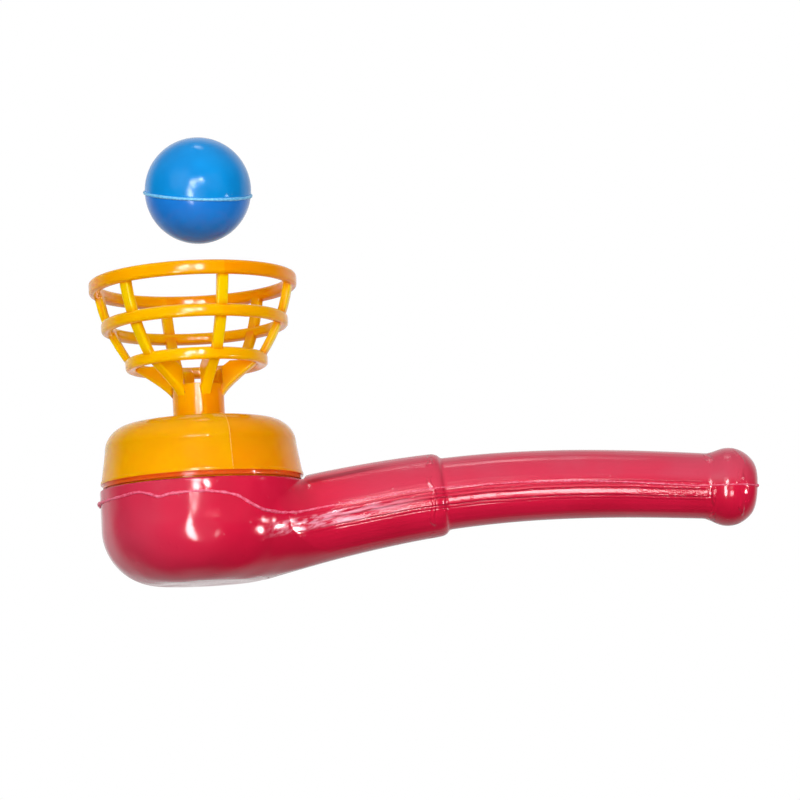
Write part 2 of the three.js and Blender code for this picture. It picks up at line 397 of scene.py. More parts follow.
@dataclass(frozen=True)
class BlownPlastic(Plastic):
    """Blow-moulded plastic: die lines along its length, orange peel, pimples and a gently wavy skin.

    "Along" is the distance from the bowl's axis along X, and "over" the height over the tube's centre line.
    A _band is where a thing lies, a _range the noise values between which it comes in, a _scale how fine
    it is, also by axis, a _depth its relief, and a _share its strength.

    Attributes:
        die_lines: Each deep line's "over" in millimetres, and its share of the depth.
        die_half_width: Half of such a line's width, in millimetres.
        wander_reach: How far the lines wander in all.
        line_scale: The scale of the faint lines between them.
        peel_gains: Where the orange peel's strength changes along the tube, from and to, and by how much.
        pimple_strength: How much of the pimples' relief shows.
        dust_and_sheen: The colour of dusty, hazy skin together with a painted sheen, on the tube's upper
            half and on the bowl's far side.
        painted_highlight: The colour of a painted pale highlight band on the shank.
        dark_reflection_over: Where the painted dark reflection on the shank's upper edge lies.
        wrinkles: Each ring-shaped wrinkle's place along the tube, and its share of the depth.
        wrinkle_wobble: How much it wanders, as scale and whole reach.
    """

    rough_mix: Point = (0.8, 0.2)
    stem_band: Band = (0.018, 0.036, 0.113, 0.118)
    die_lines: tuple[Point, ...] = ((-3.95, 0.35), (-3.25, 1.0), (-1.55, 1.0), (-0.65, 0.7), (0.2, 0.6))
    die_half_width: float = 0.27
    die_depth: float = 0.00014
    # Dark colour in the die lines' grooves: partly grime, partly painted shade; also used for the painted
    # dark reflection below
    dark_grime_and_shade_colour: Colour = (0.2, 0.006, 0.02)
    groove_grime_and_shade_share: float = 0.6
    wander_scale: float = 60.0
    wander_reach: float = 0.0006
    line_scale: Triple = (8.0, 1 / 0.0014, 1 / 0.0014)
    line_depth: float = 0.00012
    peel_scale: float = 1500.0
    peel_depth: float = 0.00008
    peel_band: Band = (-0.0045, -0.0035, 0.0, 0.0006)
    peel_gains: tuple[Triple, ...] = ((0.052, 0.058, -0.7), (0.085, 0.11, 1.3))
    wave_scale: float = 80.0
    wave_depth: float = 0.0012
    wave_calm: float = 0.75
    pimple_scale: float = 420.0
    pimple_range: Point = (0.08, 0.2)
    pimple_depth: float = 0.00004
    pimple_strength: float = 0.6
    # Paler skin: partly dusty haze, partly a painted sheen where light falls
    dust_and_sheen: Colour = (0.55, 0.048, 0.093)
    dust_and_sheen_over: Point = (-0.001, 0.002)
    dust_and_sheen_along: Point = (0.02, 0.045)
    dust_and_sheen_bowl: Point = (-0.012, 0.022)
    dust_and_sheen_bowl_share: float = 0.8
    dust_and_sheen_patchiness: float = 0.4
    # A painted highlight: the pale, streaky band on the shank, its strength, place and streaks
    painted_highlight: Colour = (0.86, 0.36, 0.47)
    painted_highlight_share: float = 0.75
    painted_highlight_along_band: Band = (0.013, 0.022, 0.038, 0.054)
    painted_highlight_over_band: Band = (-0.0034, -0.0028, -0.0004, 0.0002)
    scuff_scale: Triple = (170.0, 1300.0, 1300.0)
    scuff_range: Point = (0.38, 0.62)
    # A painted dark reflection along the shank's upper edge
    dark_reflection_over: float = 0.0081
    dark_reflection_half_width: float = 0.0007
    dark_reflection_band: Band = (0.021, 0.027, 0.036, 0.046)
    dark_reflection_share: float = 0.65
    wrinkles: tuple[Point, ...] = ((0.0528, 0.8), (0.1172, 1.0), (0.1238, 0.8))
    wrinkle_half_width: float = 0.0007
    wrinkle_depth: float = 0.00025
    wrinkle_wobble: Point = (240.0, 0.004)
    wrinkle_scale: float = 170.0
    wrinkle_range: Point = (0.4, 0.55)

    def dress(self, bench: ShaderBench) -> None:
        """Build the nodes."""
        place, way = bench.place(), bench.attribute("way")
        along, height = bench.part(place, 0), bench.part(way, 1)
        over = height + bench.drift(way, (self.wander_scale, 0.0, 0.0), self.wander_reach)
        clouds = self.clouds(bench, place)
        notches = (1.0 - self.die_profile(bench, over)) * along.within(self.stem_band)
        # Paler tube top and bowl far side: partly dusty haze, partly a painted sheen where light falls
        dusty_lit_top = height.eased(*self.dust_and_sheen_over) * along.eased(*self.dust_and_sheen_along)
        dusty_lit_bowl_side = (0.0 - along).eased(*self.dust_and_sheen_bowl)
        patches = clouds * self.dust_and_sheen_patchiness + (1 - self.dust_and_sheen_patchiness)
        # A painted highlight: a pale band along the shank's side, broken into streaks
        painted_highlight_mask = along.within(self.painted_highlight_along_band) * over.within(self.painted_highlight_over_band)
        streaks = bench.noise(way, self.scuff_scale, detail=3.0).eased(*self.scuff_range)
        # A painted dark reflection: a thin dark line along the shank's upper edge; the shape has no crease
        # there
        painted_dark_reflection = over.crest(self.dark_reflection_over, self.dark_reflection_half_width) * along.within(self.dark_reflection_band)
        normal = self.relief(bench, place, way, over, notches)
        colour = bench.blend(clouds, self.colour, self.shade)
        for share, tint in (
            # Dusty haze mixed with a painted sheen
            ((dusty_lit_top + dusty_lit_bowl_side * self.dust_and_sheen_bowl_share) * patches, self.dust_and_sheen),
            # Painted highlight band on the shank
            (painted_highlight_mask * streaks * self.painted_highlight_share, self.painted_highlight),
            # The die lines' grooves darkened: partly grime, partly painted shade in the grooves
            (notches * self.groove_grime_and_shade_share, self.dark_grime_and_shade_colour),
            # Painted dark reflection
            (painted_dark_reflection * self.dark_reflection_share, self.dark_grime_and_shade_colour),
        ):
            colour = bench.blend(share, colour, tint)
        self.shader(bench, colour, dusty_lit_top * self.rough_mix[0] + clouds * self.rough_mix[1], normal)

    def relief(self, bench: ShaderBench, place: Wire, way: Wire, over: Wire, notches: Wire) -> Wire:
        """The skin's relief, from the waves to the pimples.

        Args:
            bench: The material's bench.
            place: The place on the piece.
            way: The distance along the tube, the height over its centre line and the place across it.
            over: That height, with the lines' wander.
            notches: 1 in the deep lines.

        Returns:
            The bumped normal.
        """
        along = bench.part(place, 0)
        on_stem = along.within(self.stem_band)
        calm = 1.0 - along.eased(*self.stem_band[:2]) * self.wave_calm
        peel = bench.noise(place, self.peel_scale, detail=1.0) * over.within(self.peel_band) * on_stem
        strength: Wire | float = 1.0
        for start, end, gain in self.peel_gains:
            strength = along.eased(start, end) * gain + strength
        spots = bench.node("ShaderNodeTexVoronoi", {"Vector": place, "Scale": self.pimple_scale})
        normal = None
        for height, depth, shown in (
            (bench.noise(place, self.wave_scale, detail=1.0) * calm, self.wave_depth, 1.0),
            (bench.noise(way, self.line_scale) * on_stem, self.line_depth, 1.0),
            (1.0 - notches, self.die_depth, 1.0),
            (self.folds(bench, place, along), self.wrinkle_depth, 1.0),
            (peel * strength, self.peel_depth, 1.0),
            (1.0 - spots.eased(*self.pimple_range), self.pimple_depth, self.pimple_strength),
        ):
            normal = bench.bump(height, depth, shown, normal)
        return normal

    def folds(self, bench: ShaderBench, place: Wire, along: Wire) -> Wire:
        """The broken ring-shaped wrinkles where the tube changes its width.

        Args:
            bench: The material's bench.
            place: The place on the piece.
            along: Its part along the pipe.

        Returns:
            1 on a wrinkle's crest and 0 beside it.
        """
        wobbly = along + bench.drift(place, *self.wrinkle_wobble)
        crests: Wire | float = 0.0
        for spot, share in self.wrinkles:
            crests = wobbly.crest(spot, self.wrinkle_half_width) * share + crests
        breaks = bench.noise(place, self.wrinkle_scale, detail=1.0).eased(*self.wrinkle_range)
        return crests * breaks

    def die_profile(self, bench: ShaderBench, over: Wire) -> Wire:
        """The deep lines as notches, by the height over the centre line.

        Args:
            bench: The material's bench.
            over: That height, in metres.

        Returns:
            1 between the lines and less in them.
        """
        low = self.die_lines[0][0] - 1
        span = self.die_lines[-1][0] + 1 - low
        stops = [(0.0, 1.0)]
        for height, share in self.die_lines:
            for offset, grey in ((-1, 1.0), (0, 1.0 - share), (1, 1.0)):
                stops.append(((height + offset * self.die_half_width - low) / span, grey))
        ranged = over * (1 / (span * MILLIMETRE)) - low / span
        return bench.node("ShaderNodeValToRGB", {0: ranged}, stops=stops)


@dataclass(frozen=True)
class Flash(Plastic):
    """Torn flash on a seam: paler than its plastic and rough.

    Attributes:
        grain_depth: The depth of its grain.
    """

    cloud_scale: float = 1500.0
    cloud_range: Point = (0.35, 0.65)
    grain_depth: float = 0.0001

    def dress(self, bench: ShaderBench) -> None:
        """Build the nodes."""
        grain = bench.noise(bench.place(), self.cloud_scale, detail=3.0)
        colour = bench.blend(grain.eased(*self.cloud_range), self.colour, self.shade)
        self.shader(bench, colour, grain, bench.bump(grain, self.grain_depth))


def add_object(name: str, data: ID) -> Object:
    """Put a mesh, a lamp or a camera in the scene under a name."""
    thing = bpy.data.objects.new(name, data)
    bpy.context.scene.collection.objects.link(thing)
    return thing


def plain_mesh(
    name: str, points: Any, edges: Sequence[Sequence[int]] = (), faces: Iterable[Sequence[int]] = ()
) -> Mesh:
    """A mesh with smooth faces.

    Args:
        name: The mesh's name.
        points: Its points in millimetres.
        edges: The point numbers of each edge that no face has.
        faces: The point numbers of each face, anticlockwise from outside.

    Returns:
        The mesh, in metres.
    """
    mesh = bpy.data.meshes.new(name)
    mesh.from_pydata((np.asarray(points) * MILLIMETRE).tolist(), edges, faces)
    mesh.shade_smooth()
    return mesh


def note(mesh: Mesh, name: str, values: Array) -> None:
    """Store a number, or a vector, for each point of a mesh."""
    single = values.ndim == 1
    stored = mesh.attributes.new(name, "FLOAT" if single else "FLOAT_VECTOR", "POINT")
    stored.data.foreach_set("value" if single else "vector", values.ravel())


def outward(mesh: Mesh) -> Mesh:
    """Merge doubled points and turn every face outwards."""
    cloth = bmesh.new()
    cloth.from_mesh(mesh)
    bmesh.ops.remove_doubles(cloth, verts=cloth.verts, dist=MERGE_DISTANCE)
    bmesh.ops.recalc_face_normals(cloth, faces=cloth.faces)
    cloth.to_mesh(mesh)
    cloth.free()
    return mesh


def rounded(corners: Sequence[Sequence[float]], steps: int = 4) -> list[Point]:
    """A closed outline with its corners rounded.

    Args:
        corners: Each corner's radius from the axis, its height and its rounding, if it has one, in order.
        steps: Steps in each rounding.

    Returns:
        The outline's points.
    """
    outline: list[Point] = []
    for i, (x, z, *sizes) in enumerate(corners):
        if not sizes:
            outline.append((x, z))
            continue
        here, size = np.array([x, z]), sizes[0]
        before = np.array(corners[i - 1][:2]) - here
        after = np.array(corners[(i + 1) % len(corners)][:2]) - here
        before /= np.linalg.norm(before)
        after /= np.linalg.norm(after)
        half = math.acos(float(np.clip(before @ after, -1, 1))) / 2
        reach = size / math.tan(half)
        start, end = here + before * reach, here + after * reach
        middle = here + (before + after) / np.linalg.norm(before + after) * size / math.sin(half)
        first = math.atan2(*(start - middle)[::-1])
        turn = math.atan2(*(end - middle)[::-1]) - first
        turn = (turn + math.pi) % (2 * math.pi) - math.pi
        for k in range(steps + 1):
            angle = first + turn * k / steps
            outline.append((middle[0] + size * math.cos(angle), middle[1] + size * math.sin(angle)))
    return outline


def quarter(centre: Point, sides: Point, start: float, end: float, steps: int) -> list[Point]:
    """Points of an arc of an ellipse.

    Args:
        centre: Its centre.
        sides: Its half width and half height.
        start: The angle of its first point, in degrees, with 0 outwards and 90 up.
        end: The angle of its last point.
        steps: Steps between them.

    Returns:
        The points.
    """
    angles = np.radians(np.linspace(start, end, steps + 1))
    return [(centre[0] + sides[0] * math.cos(a), centre[1] + sides[1] * math.sin(a)) for a in angles]


def turned(name: str, outline: Sequence[Point], sides: int) -> Mesh:
    """A closed outline of (radius, height) points turned about the Z axis."""
    radius, height = np.array(outline).T
    angles = np.arange(sides) * 2 * math.pi / sides
    around = (np.outer(np.cos(angles), radius), np.outer(np.sin(angles), radius))
    points = np.stack([*around, np.tile(height, (sides, 1))], axis=2).reshape(-1, 3)
    count = len(outline)
    faces = []
    for i in range(sides):
        here, there = i * count, (i + 1) % sides * count
        for j in range(count):
            after = (j + 1) % count
            faces.append((here + j, here + after, there + after, there + j))
    return outward(plain_mesh(name, points, faces=faces))


class Recipe(Bench):
    """A geometry node tree with named inputs, run on a base mesh and turned into a plain mesh."""

    def __init__(self, name: str, inputs: dict[str, str]) -> None:
        """Start the tree.

        Args:
            name: The tree's name.
            inputs: Each input's label and its kind of socket.
        """
        super().__init__(bpy.data.node_groups.new(name, "GeometryNodeTree"))
        face = self.tree.interface
        face.new_socket("Geometry", in_out="INPUT", socket_type="NodeSocketGeometry")
        self.labels = {
            label: face.new_socket(label, in_out="INPUT", socket_type=f"NodeSocket{kind}").identifier
            for label, kind in (inputs | {"Finish": "Material"}).items()
        }
        face.new_socket("Geometry", in_out="OUTPUT", socket_type="NodeSocketGeometry")
        self.start = self.add("NodeGroupInput", {})

    def given(self, label: str) -> Wire:
        """The wire of a named input, or of the base mesh for "Geometry"."""
        return Wire(self, self.start.outputs[label])

    def end(self, geometry: Wire) -> None:
        """Finish the tree: realise, shade, give the material and send it out."""
        real = self.node("GeometryNodeRealizeInstances", {0: geometry})
        smooth = self.node("GeometryNodeSetShadeSmooth", {"Geometry": real})
        sockets = {"Geometry": smooth, "Material": self.given("Finish")}
        self.add("NodeGroupOutput", {0: self.node("GeometryNodeSetMaterial", sockets)})

    def run(self, name: str, base: Mesh, values: dict[str, Any]) -> Object:
        """Run the tree on a base mesh.

        Args:
            name: The new object's name.
            base: The mesh that the tree starts from.
            values: Each named input's value.

        Returns:
            An object with a plain mesh and no modifier.
        """
        thing = add_object(name, base)
        modifier = thing.modifiers.new("recipe", "NODES")
        modifier.node_group = self.tree
        for label, value in values.items():
            modifier[self.labels[label]] = value
        bpy.context.view_layer.update()
        made = thing.evaluated_get(bpy.context.evaluated_depsgraph_get())
        plain = bpy.data.meshes.new_from_object(made)
        thing.modifiers.clear()
        thing.data = plain
        bpy.data.meshes.remove(base)
        return thing


def bead_recipe() -> Recipe:
    """A bead that follows a path's edges, uneven in its thickness as torn flash is."""
    labels = ("Thickness", "Unevenness", "Grain", "Seed")
    recipe = Recipe("bead_on_path", {label: "Float" for label in labels} | {"Sides": "Int"})
    path = recipe.node("GeometryNodeMeshToCurve", {"Mesh": recipe.given("Geometry")})
    sockets = {"W": recipe.given("Seed"), "Scale": recipe.given("Grain"), "Detail": 3.0}
    grain = recipe.node("ShaderNodeTexNoise", sockets, noise_dimensions="4D")
    size = recipe.node("GeometryNodeInputNamedAttribute", {"Name": "size"}, data_type="FLOAT")
    radius = ((grain - 0.5) * recipe.given("Unevenness") + 1.0) * recipe.given("Thickness") * size
    sized = recipe.node("GeometryNodeSetCurveRadius", {"Curve": path, "Radius": radius})
    sockets = {"Resolution": recipe.given("Sides"), "Radius": 1.0}
    outline = recipe.node("GeometryNodeCurvePrimitiveCircle", sockets)
    sockets = {"Curve": sized, "Profile Curve": outline, "Fill Caps": True}
    sockets["Scale"] = recipe.node("GeometryNodeInputRadius", {})
    recipe.end(recipe.node("GeometryNodeCurveToMesh", sockets))
    return recipe


@dataclass(frozen=True)
class Bead:
    """A thin bead of flash on a seam.

    Attributes:
        thickness: Half its width, in millimetres.
        unevenness: How much that varies.
        grain: How fine the variation is, per metre.
        finish: Its finish.
        sides: The sides of its cross-section.
    """

    thickness: float
    unevenness: float
    grain: float
    finish: Flash
    sides: int = 8

    def lay(self, beads: Recipe, name: str, path: Mesh, seed: float) -> Object:
        """Lay the bead along a path.

        Args:
            beads: The recipe for a bead on a path.
            name: The new object's name.
            path: A mesh of edges, from path_mesh().
            seed: The seed of its unevenness.

        Returns:
            The bead.
        """
        values = {
            "Thickness": self.thickness * MILLIMETRE,
            "Unevenness": self.unevenness,
            "Grain": self.grain,
            "Seed": seed,
            "Sides": self.sides,
            "Finish": self.finish.make(),
        }
        return beads.run(name, path, values)


def path_mesh(name: str, points: Array, closed: bool = False, sizes: Any = 1.0) -> Mesh:
    """A mesh of edges along a path, for a bead.

    Args:
        name: The mesh's name.
        points: The path's points in millimetres.
        closed: Whether the path's end joins its start.
        sizes: The bead's share of its thickness at each point, or all along.

    Returns:
        The mesh, with the shares as an attribute.
    """
    count = len(points)
    edges = [(i, (i + 1) % count) for i in range(count if closed else count - 1)]
    mesh = plain_mesh(name, points, edges)
    note(mesh, "size", np.broadcast_to(sizes, count))
    return mesh


def joined(first: Array, second: Array, reach: float) -> Array:
    """The union of two distance fields, filleted over a reach."""
    near = np.clip(reach - np.abs(first - second), 0, None) / reach
    return np.minimum(first, second) - near * near * reach / 4


def without(first: Array, second: Array, reach: float) -> Array:
    """The first distance field less the second, with its edges rounded over a reach."""
    return -joined(-first, second, reach)


def corner(across: Array, along: Array, size: float) -> Array:
    """Distance to a convex corner rounded by a size; both inputs are from the rounding's centre."""
    outside = np.hypot(np.maximum(across, 0), np.maximum(along, 0))
    return outside + np.minimum(np.maximum(across, along), 0) - size


def graded(start: float, spans: Sequence[Point]) -> Array:
    """Grid lines from a start through (end, step) spans."""
    lines = [start]
    for end, step in spans:
        count = max(1, round((end - lines[-1]) / step))
        lines.extend(np.linspace(lines[-1], end, count + 1)[1:])
    return np.array(lines)


@dataclass
class SurfaceNet:
    """The surface of a distance field, as quads on a grid of uneven pitch.

    Attributes:
        shape: The field; it is below zero inside.
        lines: The grid lines on each axis, in millimetres.
        nudge: The half step over which a slope is measured.
        reach: How far a point may move to settle on the surface.
        rounds: How many times it is moved.
        flattest: The least squared slope that a move is worked out with.
    """

    shape: Field
    lines: Sequence[Array]
    nudge: float = 0.02
    reach: float = 0.6
    rounds: int = 4
    flattest: float = 0.05

    def slope(self, points: Array) -> Array:
        """The field's gradient at points."""
        parts = []
        for step in np.eye(3) * self.nudge:
            ahead, behind = points + step, points - step
            parts.append((self.shape(*ahead.T) - self.shape(*behind.T)) / (2 * self.nudge))
        return np.stack(parts, axis=1)

    def settled(self, points: Array) -> Array:
        """Points moved on to the surface."""
        start = points.copy()
        for _ in range(self.rounds):
            slope = self.slope(points)
            steepness = np.maximum((slope**2).sum(1), self.flattest)
            points = points - slope * (self.shape(*points.T) / steepness)[:, None]
            points = start + np.clip(points - start, -self.reach, self.reach)
        return points

    def mesh(self, name: str) -> tuple[Mesh, Array]:
        """Build the surface.

        Args:
            name: The mesh's name.

        Returns:
            The mesh, and its points in millimetres.
        """
        grid = np.meshgrid(*self.lines, indexing="ij", sparse=True)
        value = np.broadcast_to(self.shape(*grid), [len(line) for line in self.lines])
        inside = value < 0
        cells = tuple(n - 1 for n in value.shape)
        total = np.zeros((*cells, 3))
        hits = np.zeros(cells)
        faces = []
        corners = [(i, j, k) for i in (0, 1) for j in (0, 1) for k in (0, 1)]
        count = sum(inside[self._window(c, cells)].astype(int) for c in corners)
        active = (count > 0) & (count < 8)
        number = np.full(cells, -1)
        number[active] = np.arange(active.sum())
        for axis in range(3):
            for c in corners:
                if c[axis]:
                    continue
                far = tuple(1 if n == axis else c[n] for n in range(3))
                near_value, far_value = value[self._window(c, cells)], value[self._window(far, cells)]
                crossing = (near_value < 0) != (far_value < 0)
                with np.errstate(divide="ignore", invalid="ignore"):
                    share = np.where(crossing, near_value / (near_value - far_value), 0)
                for n in range(3):
                    low = self._spread(self.lines[n][c[n] : c[n] + cells[n]], n)
                    high = self._spread(self.lines[n][far[n] : far[n] + cells[n]], n)
                    total[..., n] += np.where(crossing, low + (high - low) * share, 0)
                hits += crossing
            faces.append(self._faces(axis, inside, number))
        points = self.settled(total[active] / hits[active][:, None])
        mesh = plain_mesh(name, points, faces=np.concatenate(faces).tolist())
        normals = self.slope(points)
        normals /= np.linalg.norm(normals, axis=1)[:, None]
        mesh.normals_split_custom_set_from_vertices(normals.tolist())
        return mesh, points

    @staticmethod
    def _window(c: tuple[int, ...], cells: tuple[int, ...]) -> tuple[slice, ...]:
        """The slice of the grid's points at one corner of every cell."""
        return tuple(slice(c[n], c[n] + cells[n]) for n in range(3))

    @staticmethod
    def _spread(line: Array, axis: int) -> Array:
        """One axis's values shaped to spread over the grid."""
        return line.reshape([-1 if n == axis else 1 for n in range(3)])

    @staticmethod
    def _faces(axis: int, inside: Array, number: Array) -> Array:
        """The quads round the grid edges along one axis that cross the surface."""
        u, v = (axis + 1) % 3, (axis + 2) % 3
        window = [slice(1, -1)] * 3
        low, high = list(window), list(window)
        low[axis], high[axis] = slice(0, -1), slice(1, None)
        near, far = inside[tuple(low)], inside[tuple(high)]
        made = []
        for leaving in (True, False):
            where = np.argwhere((near & ~far) if leaving else (~near & far))
            where[:, u] += 1
            where[:, v] += 1
            quad = []
            for du, dv in ((-1, -1), (0, -1), (0, 0), (-1, 0)):
                cell = where.copy()
                cell[:, u] += du
                cell[:, v] += dv
                quad.append(number[tuple(cell.T)])
            made.append(np.stack(quad if leaving else quad[::-1], axis=1))
        return np.concatenate(made)


@dataclass
class CentreLine:
    """The pipe's centre line: one cubic curve in the plane of the bowl's axis."""

    handles: tuple[Point, Point, Point, Point]
    samples: int = 400
    rounds: int = 6

    def __post_init__(self) -> None:
        """Measure the curve."""
        self.share = np.linspace(0, 1, self.samples)
        self.spot = self.at(self.share)
        steps = np.hypot(*np.diff(self.spot, axis=1))
        self.distance = np.concatenate([[0], np.cumsum(steps)])
        self.length = float(self.distance[-1])

    def at(self, share: Array) -> Array:
        """The curve's X and Z at a share of its parameter."""
        a, b, c, d = self._spread(share)
        rest = 1 - share
        return a * rest**3 + 3 * b * share * rest**2 + 3 * c * share**2 * rest + d * share**3

    def _spread(self, share: Array) -> list[Array]:
        """The handles, shaped to go with a share."""
        return [np.array(handle).reshape(2, *[1] * np.ndim(share)) for handle in self.handles]

    def speed(self, share: Array) -> tuple[Array, Array]:
        """The curve's first and second derivatives."""
        a, b, c, d = self._spread(share)
        rest = 1 - share
        first = 3 * (rest**2 * (b - a) + 2 * share * rest * (c - b) + share**2 * (d - c))
        second = 6 * (rest * (c - 2 * b + a) + share * (d - 2 * c + b))
        return first, second

    def straightened(self, x: Array, z: Array) -> tuple[Array, Array]:
        """Distance along the line and height over it, for points in its plane."""
        x, z = np.broadcast_arrays(x, z)
        share = np.interp(x, self.spot[0], self.share)
        for _ in range(self.rounds):
            spot = self.at(share)
            first, second = self.speed(share)
            gap = (spot[0] - x, spot[1] - z)
            pull = gap[0] * first[0] + gap[1] * first[1]
            bend = first[0] ** 2 + first[1] ** 2 + gap[0] * second[0] + gap[1] * second[1]
            share = np.clip(share - pull / np.maximum(bend, 1.0), 0, 1)
        spot = self.at(share)
        first, _ = self.speed(share)
        size = np.hypot(*first)
        along = ((x - spot[0]) * first[0] + (z - spot[1]) * first[1]) / size
        over = ((z - spot[1]) * first[0] - (x - spot[0]) * first[1]) / size
        return np.interp(share, self.share, self.distance) + along, over


@dataclass
class PipeMoulding:
    """The blow-moulded pipe: hollow bowl, shank, step, stem and mouthpiece bulb, in millimetres.

    Attributes:
        root, shank_handle, stem_handle, mouth: The handles of the centre line, as (X, Z).
        stem_length: From the step to the mouth, along the line.
        step_run: The length over which the shank rounds off at the step.
        lid_radius: The radius of the flat cut on the bowl's rim.
        crook_ball: The size of a ball that would roll along the crook's fillet.
        crook_fillet, crook_fade: The fillet's most reach, and the height below the rim where it fades.
        crook_least: The least agreement of the two outsides' directions that counts.
        guard: A small distance that keeps quotients finite.
        parting: The seam's height over the base, as (X, height).
        seam_end: How far short of the mouth it ends.
        seam_steps: Its points on each side, round the bowl's left and along the rest.
        seam_search, seam_halvings: How far past the bowl's radius it is sought, and how finely.
        flash_tube_span, flash_tube_share: Where the flash thins, from the root along X, and to what share.
        nub_marks, nub_share: The X between which the seam's two ends thicken, and by how much.
        grid_along, grid_across, grid_up: The grid that the surface is found on, as a start and its spans.
    """

    bowl_radius: float = 23.7
    bowl_height: float = 22.5
    bowl_corner: float = 13.3
    wall: float = 1.3
    root: Point = (12.0, 10.8)
    shank_handle: Point = (60.0, 20.8)
    stem_handle: Point = (84.0, 19.0)
    mouth: Point = (128.0, 14.5)
    root_radius: float = 10.7
    shank_radius: float = 9.65
    stem_length: float = 72.4
    stem_radius: float = 8.35
    stem_end_radius: float = 7.5
    step_round: float = 1.3
    step_run: float = 2.4
    bulb_radius: float = 9.05
    bulb_half_length: float = 7.5
    bulb_fillet: float = 1.2
    mouth_flat_radius: float = 4.3
    mouth_round: float = 1.2
    hole_radius: float = 3.3
    lid_radius: float = 24.0
    edge_round: float = 0.5
    crook_ball: float = 18.0
    crook_fillet: float = 9.0
    crook_fade: float = 8.0
    crook_least: float = -0.5
    guard: float = 0.01
    parting: tuple[Point, ...] = (
        (-24.4, 19.4), (-18.0, 19.6), (-12.9, 20.2), (-11.2, 19.6), (-9.6, 19.3), (-7.9, 17.9), (-7.4, 18.8),
        (-5.6, 19.0), (-2.6, 19.2), (2.5, 19.2), (6.3, 18.7), (9.5, 17.9), (12.1, 16.1), (14.9, 14.6),
        (18.8, 14.0), (22.4, 14.1), (27.7, 15.1), (36.5, 16.3), (48.9, 17.6), (55.6, 18.2), (72.3, 18.4),
        (87.4, 17.9), (98.8, 16.9), (113.8, 15.2), (129.5, 14.6),
    )
    seam_end: float = 0.4
    seam_steps: tuple[int, int] = (40, 300)
    seam_search: float = 3.0
    seam_halvings: int = 40
    flash_tube_span: Point = (6.0, 22.0)
    flash_tube_share: float = 0.5
    nub_marks: Band = (-23.6, -23.2, 127.2, 127.7)
    nub_share: float = 0.9
    grid_along: Spans = (-25.4, ((31, 0.6), (52, 1.2), (59, 0.35), (110, 1.5), (130.6, 0.5)))
    grid_across: Spans = (-25.2, ((25.2, 0.6),))
    grid_up: Spans = (-0.9, ((28.2, 0.6),))
    finish: BlownPlastic = BlownPlastic(
        name="pipe_crimson",
        colour=(0.62, 0.009, 0.046),
        shade=(0.56, 0.007, 0.038),
        roughness=(0.12, 0.24),
        cloud_scale=70.0,
    )
    flash: Bead = Bead(
        thickness=0.34,
        unevenness=2.2,
        grain=650.0,
        finish=Flash("pipe_flash", (0.8, 0.15, 0.26), (0.72, 0.05, 0.12), (0.35, 0.55)),
    )

    def __post_init__(self) -> None:
        """Lay out the centre line."""
        self.line = CentreLine((self.root, self.shank_handle, self.stem_handle, self.mouth))
        tip_share = self.mouth_flat_radius / self.bulb_radius
        self.bulb_centre = self.line.length - self.bulb_half_length * math.sqrt(1 - tip_share**2)
        self.step = self.line.length - self.stem_length

    def bowl(self, x: Array, y: Array, z: Array, inwards: float) -> Array:
        """The bowl's field, open upwards."""
        size = self.bowl_corner - inwards
        across = np.hypot(x, y) - (self.bowl_radius - self.bowl_corner)
        return np.maximum(corner(across, self.bowl_corner - z, size), z - self.bowl_height - 2 * inwards)

    def tube(self, x: Array, y: Array, z: Array, inwards: float) -> Array:
        """The field of the shank, step, stem and bulb."""
        along, over = self.line.straightened(x, z)
        around = np.hypot(over, y)
        shank_end = self.step - self.step_run
        shank_radius = np.interp(along, [0, shank_end], [self.root_radius, self.shank_radius])
        centre = shank_radius - self.step_round
        beyond = (along - shank_end) * (self.step_round / self.step_run)
        shank = corner(around - centre, beyond, self.step_round) + inwards
        slope = [self.stem_radius, self.stem_end_radius]
        stem = around - np.interp(along, [self.step, self.bulb_centre], slope) + inwards
        stem = np.maximum(np.maximum(stem, along - self.bulb_centre), -along)
        width, length = self.bulb_radius - inwards, self.bulb_half_length - inwards
        bulb = (np.hypot(around / width, (along - self.bulb_centre) / length) - 1) * width
        shank = np.maximum(shank, -along)
        field = joined(joined(shank, stem, self.edge_round), bulb, self.bulb_fillet)
        if inwards > 0:
            hole = np.maximum(around - self.hole_radius, self.bulb_centre - along)
            return np.minimum(field, hole)
        return without(field, self.line.length - along, self.mouth_round)

    def crook_reach(self, x: Array, y: Array, z: Array) -> Array:
        """How far the fillet between bowl and tube reaches: further where they meet at a wider angle.

        Underneath the two run on nearly in one line, and there the fillet is slight.
        """
        rise = math.atan2(self.shank_handle[1] - self.root[1], self.shank_handle[0] - self.root[0])
        _, over = self.line.straightened(x, z)
        around, radius = np.hypot(over, y) + self.guard, np.hypot(x, y) + self.guard
        out = np.maximum(radius - (self.bowl_radius - self.bowl_corner), 0)
        down = np.maximum(self.bowl_corner - z, 0)
        level = (y * y - x * over * math.sin(rise)) / (radius * around)
        upright = over * math.cos(rise) / around
        agreement = (out * level - down * upright) / (np.hypot(out, down) + self.guard)
        half_cosine = np.sqrt((1 + np.clip(agreement, self.crook_least, 1)) / 2)
        ball = 4 * self.crook_ball * (1 / half_cosine - 1)
        fading = np.clip((self.bowl_height - z) / self.crook_fade, 0, 1)
        return self.edge_round + np.minimum(ball, self.crook_fillet) * fading

    def outside(self, x: Array, y: Array, z: Array) -> Array:
        """The field of the moulding's outside, before the lid's seat is cut."""
        return joined(self.bowl(x, y, z, 0), self.tube(x, y, z, 0), self.crook_reach(x, y, z))

